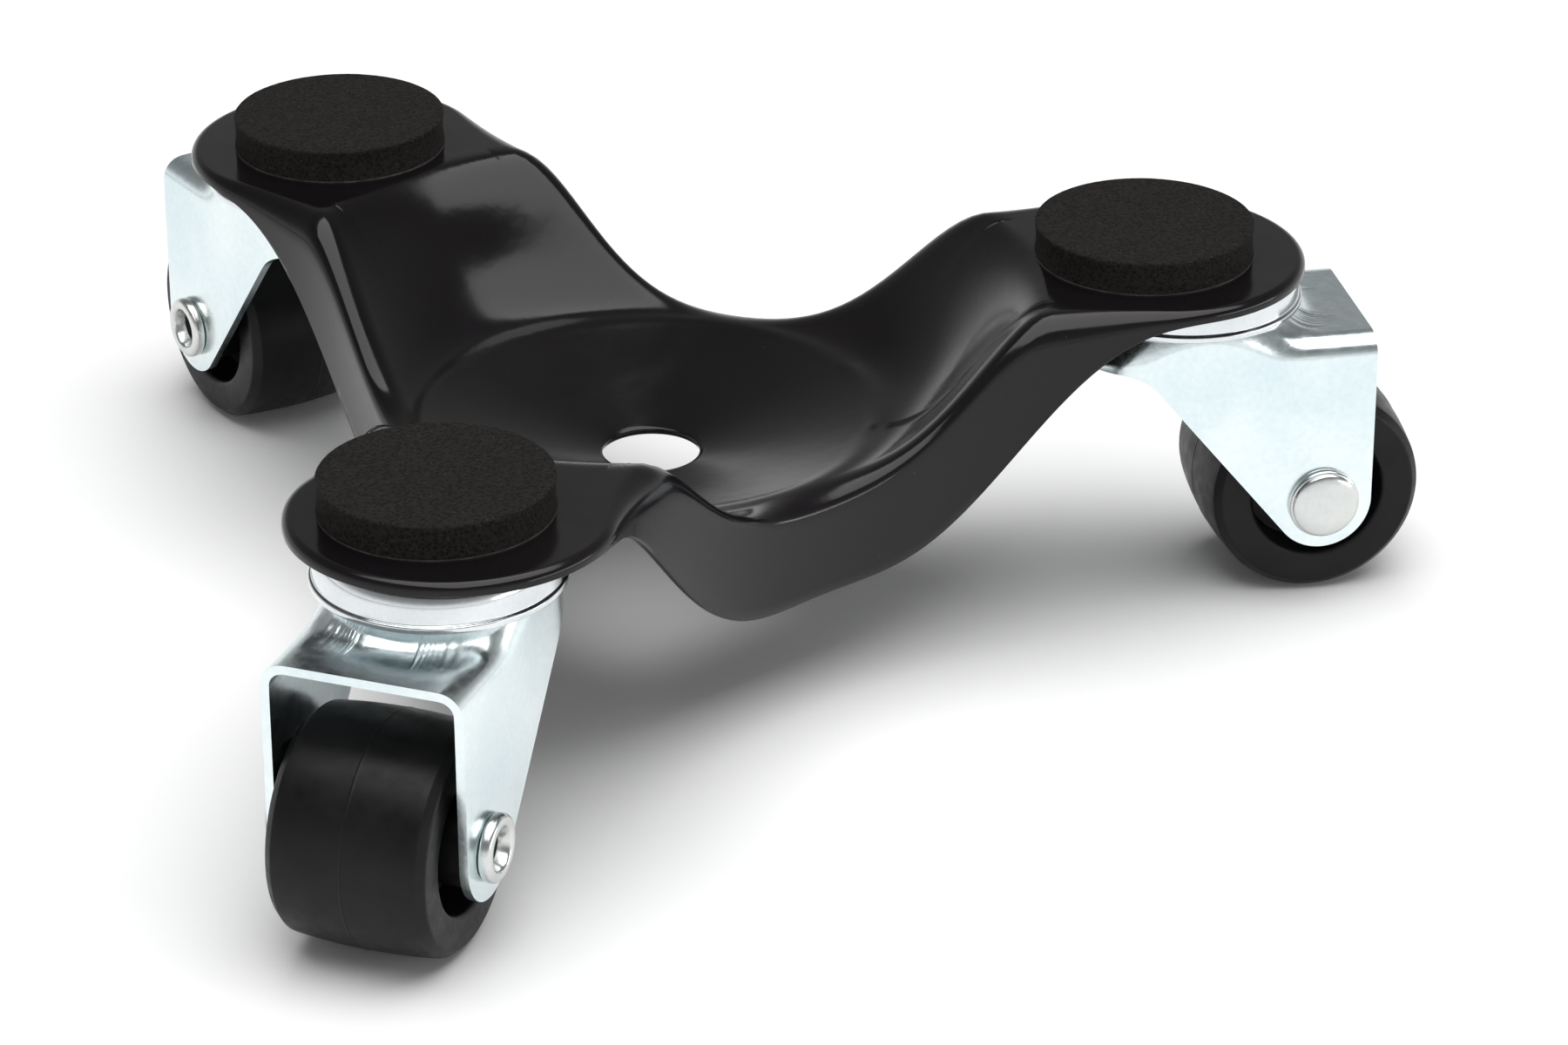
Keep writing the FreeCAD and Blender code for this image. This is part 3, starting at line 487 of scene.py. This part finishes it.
def plate_height(x, y):
    """The plate's upper surface: a coned dish, three arms that climb out of it, flat lobes."""
    radius = np.hypot(x, y)
    dish = DISH_RISE * (radius - HOLE_RADIUS) / (DISH_RADIUS - HOLE_RADIUS)
    climb = np.clip((radius - DISH_RADIUS) / (ARM_TOP_RADIUS - DISH_RADIUS), 0, 1)
    level = DISH_RISE + (LOBE_RISE - DISH_RISE) * smooth(climb ** CLIMB_ONSET)
    heading = np.degrees(np.arctan2(y, x))
    off_arm = np.min([np.abs((heading - arm + 180) % 360 - 180) for arm in ARMS.values()], axis=0)
    sideways = radius * np.sin(np.radians(np.minimum(off_arm, 90)))
    hollow = smooth(1 - sideways / LOBE_RADIUS) * np.sin(math.pi * climb) ** 2
    # the dish runs into the arms over a few millimetres, as pressed sheet does
    blend = smooth((radius - DISH_RADIUS + DISH_BLEND) / (2 * DISH_BLEND))
    return dish + (level - ARM_CHANNEL * hollow - dish) * blend


def make_plate():
    """The plate: one pressing, rolled over all the way round."""
    stations = plate_stations(PLATE_COLUMNS)
    start = LOBE_PITCH + LOBE_RADIUS * FLANGE_REACH
    share = np.clip((start - np.linalg.norm(stations[0], axis=1)) / (start - WAIST_RADIUS), 0, 1)
    bend = RIM_BEND + (WAIST_BEND - RIM_BEND) * smooth(share * ROLL_GAIN)
    rim_level = LOBE_RISE - RIM_DEPTH
    bottom = rim_level - (rim_level + FLANGE_DROP) * smooth(share ** FLANGE_ONSET)
    points, faces = pressed_shell(stations, plate_height, bend, bottom, SHEET, HOLE_RADIUS,
                                  WAIST_BEND, PLATE_ROWS)
    return piece("pressed_plate", points, faces, ENAMEL, "plate", "dolly_plate",
                 sharp=50.0)


# ---------------------------------------------------------------- pads

def pad_profile(top_steps=44, edge_steps=6, side_steps=16, base_steps=12):
    """A pad's half section from the middle of its top to the middle of its base."""
    flat = PAD_RADIUS - PAD_EDGE
    wall = PAD_THICKNESS - PAD_EDGE
    profile = [(flat - flat * step / top_steps, 0.0) for step in range(top_steps, -1, -1)]
    for step in range(1, edge_steps + 1):
        angle = math.pi / 2 * step / edge_steps
        profile.append((flat + PAD_EDGE * math.sin(angle), -PAD_EDGE * (1 - math.cos(angle))))
    for step in range(1, side_steps + 1):
        share = step / side_steps
        profile.append((PAD_RADIUS - PAD_WAIST * math.sin(math.pi * share), -PAD_EDGE - wall * share))
    for step in range(1, base_steps + 1):
        profile.append((PAD_RADIUS * (1 - step / base_steps), -PAD_THICKNESS))
    return profile


def make_pad(arm):
    """A foam pad: die-cut, so its side draws in a little, with a softened edge and a worn surface."""
    low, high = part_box("foam_pad_" + arm)
    centre = (low + high) / 2 / MM
    base = low.z / MM
    points, faces = turn(pad_profile(), False, 240)
    worn = []
    for across, up, level in points:
        place = Vector((across, up, level))
        radius = math.hypot(across, up)
        shift = (PAD_PITTING * noise.noise(place * PITTING_PER_MM)
                 + PAD_DRIFT * noise.noise(place * DRIFT_PER_MM))
        if level > -PAD_EDGE / 2:
            place.z += shift - PAD_TOP_INSET
        elif level > -PAD_THICKNESS + 0.01 and radius > 1:
            place.x += across / radius * (shift - PAD_SIDE_INSET)
            place.y += up / radius * (shift - PAD_SIDE_INSET)
        worn.append((place.x + centre.x, place.y + centre.y, place.z + base + PAD_THICKNESS))
    pad = piece("foam_disc_" + arm, worn, faces, FOAM, "plate", "foam_pad_" + arm, sharp=60.0)
    return pad


# ---------------------------------------------------------------- casters

def make_cup(arm, place):
    """The upper raceway: an inverted cup with a rolled lip."""
    lip_top = CUP_BOTTOM + CUP_LIP_HEIGHT
    inside = CUP_WALL - CUP_SHEET
    profile = rounded([
        (PIN_HOLE, CUP_TOP, 0), (CUP_WALL - CUP_DRAFT, CUP_TOP, CUP_BEND),
        (CUP_WALL, lip_top, 0.25), (CUP_LIP, lip_top, 0.4), (CUP_LIP, CUP_BOTTOM, 0.5),
        (inside, CUP_BOTTOM, 0.2), (inside - CUP_DRAFT, CUP_CEILING, CUP_BEND - CUP_SHEET),
        (PIN_HOLE, CUP_CEILING, 0)], 10)
    points, faces = turn(profile, False, 180)
    return piece("raceway_" + arm, points, faces, CUP_ZINC, "plate",
                 "raceway_cup_" + arm, place)


def make_axle(arm, hub):
    """The axle: a hollow rivet with a domed head at one end and a rolled flare at the other."""
    head = -FORK_HALF - HEAD_HEIGHT
    flare = FORK_HALF + FLARE_HEIGHT
    dome = []
    for degrees in range(0, 91, 9):
        angle = math.radians(degrees)
        dome.append(Vector((HEAD_RADIUS * math.sin(angle) * DOME_SHARE,
                            head + DOME_RISE * (1 - math.cos(angle)))))
    body = rounded([
        (HEAD_RADIUS, head + HEAD_SHOULDER, 0.5), (HEAD_RADIUS, -FORK_HALF, 0.2),
        (AXLE_RADIUS, -FORK_HALF, 0),
        (AXLE_RADIUS, FORK_HALF, 0), (FLARE_RADIUS, FORK_HALF, 0.75), (FLARE_RADIUS, flare, 0.95),
        (FLARE_MOUTH, flare, 0.75), (BORE_RADIUS, flare - FLARE_HEIGHT, 0.6),
        (BORE_RADIUS, -FORK_HALF, 0.3), (0, -FORK_HALF, 0)], 8)
    points, faces = turn(dome + body, True, 96)
    return piece("hollow_rivet_" + arm, points, faces, RIVET_ZINC, "fork_" + arm,
                 "axle_rivet_" + arm, hub)


def tread_point(along, tread_end):
    """A point on the crowned tread, raised a little at the parting line in its middle."""
    seam = SEAM_HEIGHT * math.exp(-(along / SEAM_WIDTH) ** 2)
    return Vector((WHEEL_RADIUS - TREAD_CROWN * (along / tread_end) ** 2 + seam, along))


def make_wheel(arm, hub):
    """The wheel: a crowned tread with a parting line, and a hub in a recess on each side."""
    web = WHEEL_HALF - RECESS_DEPTH
    tread_end = WHEEL_HALF - SHOULDER_WIDTH
    edge = WHEEL_RADIUS - TREAD_CROWN
    steps = 6
    side = rounded([
        (WHEEL_BORE, -HUB_HALF, 0.2), (WHEEL_BORE, HUB_HALF, 0.2), (HUB_RADIUS, HUB_HALF, 0.4),
        (HUB_RADIUS, web, 0.5), (RECESS_RADIUS, web, 0.5), (RECESS_RADIUS, WHEEL_HALF, 0.9),
        (edge - SHOULDER_STEP, WHEEL_HALF, 0.75), (edge, tread_end, 0.75),
        (edge, 0, 0)], steps)
    # the first and the last corner only steer the arcs beside them
    side = side[steps + 1:-1]
    stops = [tread_end * 0.95 * (1 - step / 20) for step in range(41)]
    stops += [0.45, 0.3, 0.2, 0.1, -0.1, -0.2, -0.3, -0.45]     # closer together at the seam
    tread = [tread_point(along, tread_end) for along in stops]
    tread.sort(key=lambda point: -point.y)
    profile = side + tread + [Vector((point.x, -point.y)) for point in reversed(side)]
    points, faces = turn(profile, True, 160)
    return piece("plain_wheel_" + arm, points, faces, POLYMER, "wheel_" + arm,
                 "wheel_" + arm, hub, sharp=40.0)


# ---------------------------------------------------------------- ball rows, by geometry nodes

def ball_tree():
    """A tree that sets balls round a circle, with the circle, ball and count as inputs."""
    tree = bpy.data.node_groups.new("ball_row", "GeometryNodeTree")
    tree.interface.new_socket("Geometry", in_out="OUTPUT", socket_type="NodeSocketGeometry")
    for name, kind in (("Circle radius", "NodeSocketFloat"), ("Ball radius", "NodeSocketFloat"),
                       ("Level", "NodeSocketFloat"), ("Count", "NodeSocketInt")):
        tree.interface.new_socket(name, in_out="INPUT", socket_type=kind)
    inputs = tree.nodes.new("NodeGroupInput")
    output = tree.nodes.new("NodeGroupOutput")
    circle = tree.nodes.new("GeometryNodeMeshCircle")
    ball = add_node(tree, "GeometryNodeMeshUVSphere", Segments=24, Rings=16)
    spread = tree.nodes.new("GeometryNodeInstanceOnPoints")
    lift = tree.nodes.new("GeometryNodeTransform")
    place = tree.nodes.new("ShaderNodeCombineXYZ")
    real = tree.nodes.new("GeometryNodeRealizeInstances")
    shade = tree.nodes.new("GeometryNodeSetShadeSmooth")
    paint = tree.nodes.new("GeometryNodeSetMaterial")
    paint.inputs["Material"].default_value = BALL_STEEL
    for source, socket, target, into in (
            (inputs, "Circle radius", circle, "Radius"), (inputs, "Count", circle, "Vertices"),
            (inputs, "Ball radius", ball, "Radius"), (circle, "Mesh", spread, "Points"),
            (ball, "Mesh", spread, "Instance"), (spread, "Instances", lift, "Geometry"),
            (inputs, "Level", place, "Z"), (place, "Vector", lift, "Translation"),
            (lift, "Geometry", real, "Geometry"), (real, "Geometry", shade, "Geometry"),
            (shade, "Geometry", paint, "Geometry"), (paint, "Geometry", output, "Geometry")):
        tree.links.new(source.outputs[socket], target.inputs[into])
    return tree


def grown(tree, name, **values):
    """The plain mesh that a tree makes with the given inputs."""
    host = bpy.data.objects.new(name, bpy.data.meshes.new(name))
    bpy.context.scene.collection.objects.link(host)
    grower = host.modifiers.new("grower", "NODES")
    grower.node_group = tree
    identifiers = {item.name: item.identifier for item in tree.interface.items_tree
                   if item.in_out == "INPUT"}
    for label, value in values.items():
        grower[identifiers[label.replace("_", " ")]] = value
    shown = bpy.context.evaluated_depsgraph_get()
    mesh = bpy.data.meshes.new_from_object(host.evaluated_get(shown))
    bpy.data.objects.remove(host)
    return mesh


def make_balls(arm, place, tree, kind, circle, ball, level, count):
    """One row of balls, riding between the cup and the fork."""
    mesh = grown(tree, kind, Circle_radius=circle * MM, Ball_radius=ball * MM,
                 Level=level * MM, Count=count)
    mesh.transform(place)
    return settle(kind + "_race_" + arm, mesh, BALL_STEEL, "balls_" + arm,
                  kind + "_balls_" + arm, 60.0)


# ---------------------------------------------------------------- the whole dolly

BALL_ROWS = {"upper": (UPPER_CIRCLE, UPPER_BALL, UPPER_LEVEL, UPPER_COUNT),
             "lower": (LOWER_CIRCLE, LOWER_BALL, LOWER_LEVEL, LOWER_COUNT)}
CAD_FINISHES = {"pad_film_": FILM_FINISH, "kingpin_": CUP_ZINC, "lower_race_": CUP_ZINC,
                "fork_": FORK_ZINC}

make_plate()
BALL_TREE = ball_tree()
for arm_name in ARMS:
    caster = caster_frame(arm_name)
    hub_frame = caster @ Matrix.Translation((TRAIL * MM, 0, -AXLE_DROP * MM))
    make_pad(arm_name)
    make_cup(arm_name, caster)
    make_axle(arm_name, hub_frame)
    make_wheel(arm_name, hub_frame)
    for kind_name, row_sizes in BALL_ROWS.items():
        make_balls(arm_name, caster, BALL_TREE, kind_name, *row_sizes)
    for node, finish in CAD_FINISHES.items():
        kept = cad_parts[node + arm_name]
        kept.data.materials.clear()
        kept.data.materials.append(finish)


# ---------------------------------------------------------------- floor, light and camera

SKY_STOPS = [(0.0, 1.0), (0.1, 0.95), (0.32, 0.34), (0.65, 0.16), (1.0, 0.12)]   # rise and grey
CAMERA_AZIMUTH, CAMERA_ELEVATION, CAMERA_ROLL = 19.24, 26.47, -0.13     # degrees
CAMERA_LENS = 125.1                                                     # mm, on a 36 mm sensor
CAMERA_TARGET, CAMERA_DISTANCE = (0.0283, -0.0113, -0.0042), 0.9274     # m


def make_floor():
    """A plain white floor at the wheels' lowest point."""
    bpy.ops.mesh.primitive_plane_add(size=30, location=(0, 0, cad_low.z))
    floor = bpy.context.object
    floor.name = "studio_floor"
    white = material("floor_white", Roughness=0.9, Specular_IOR_Level=0.1,
                     Base_Color=(0.92, 0.92, 0.92, 1))[0]
    floor.data.materials.append(white)


def make_sky():
    """A soft surround: bright near the horizon and dimmer overhead."""
    world = bpy.data.worlds.new("studio")
    bpy.context.scene.world = world
    world.use_nodes = True
    tree = world.node_tree
    place = tree.nodes.new("ShaderNodeTexCoord")
    split = tree.nodes.new("ShaderNodeSeparateXYZ")
    tree.links.new(place.outputs["Generated"], split.inputs["Vector"])
    shade = ramp(tree, split.outputs["Z"], SKY_STOPS)
    tree.links.new(shade, tree.nodes["Background"].inputs["Color"])
    tree.nodes["Background"].inputs["Strength"].default_value = 1.0


def softbox(name, place, target, width, depth, power):
    """A rectangular light that faces a target."""
    light = bpy.data.lights.new(name, "AREA")
    light.shape, light.size, light.size_y, light.energy = "RECTANGLE", width, depth, power
    holder = bpy.data.objects.new(name, light)
    holder.location = place
    aim = Vector(target) - Vector(place)
    holder.rotation_mode = "QUATERNION"
    holder.rotation_quaternion = aim.to_track_quat("-Z", "Y")
    bpy.context.scene.collection.objects.link(holder)


def make_camera():
    """The camera: a long lens, a little to the right of the front lobe and above it."""
    azimuth, elevation = math.radians(CAMERA_AZIMUTH), math.radians(CAMERA_ELEVATION)
    roll = Quaternion((0, 0, 1), math.radians(CAMERA_ROLL))
    back = Vector((math.sin(azimuth) * math.cos(elevation),
                   -math.cos(azimuth) * math.cos(elevation), math.sin(elevation)))
    lens = bpy.data.cameras.new("camera")
    lens.lens, lens.sensor_width = CAMERA_LENS, 36
    lens.clip_start, lens.clip_end = 0.05, 50
    holder = bpy.data.objects.new("camera", lens)
    holder.rotation_mode = "QUATERNION"
    holder.location = Vector(CAMERA_TARGET) + back * CAMERA_DISTANCE
    holder.rotation_quaternion = (-back).to_track_quat("-Z", "Y") @ roll
    bpy.context.scene.collection.objects.link(holder)
    bpy.context.scene.camera = holder


make_floor()
make_sky()
softbox("overhead", (0.2, -0.1, 1.9), (0, 0, 0), 2.4, 2.4, 56)
softbox("side_strip", (1.3, 0.05, 0.22), (0, 0, 0), 1.2, 0.12, 3)
make_camera()
bpy.context.scene.view_settings.view_transform = "Standard"
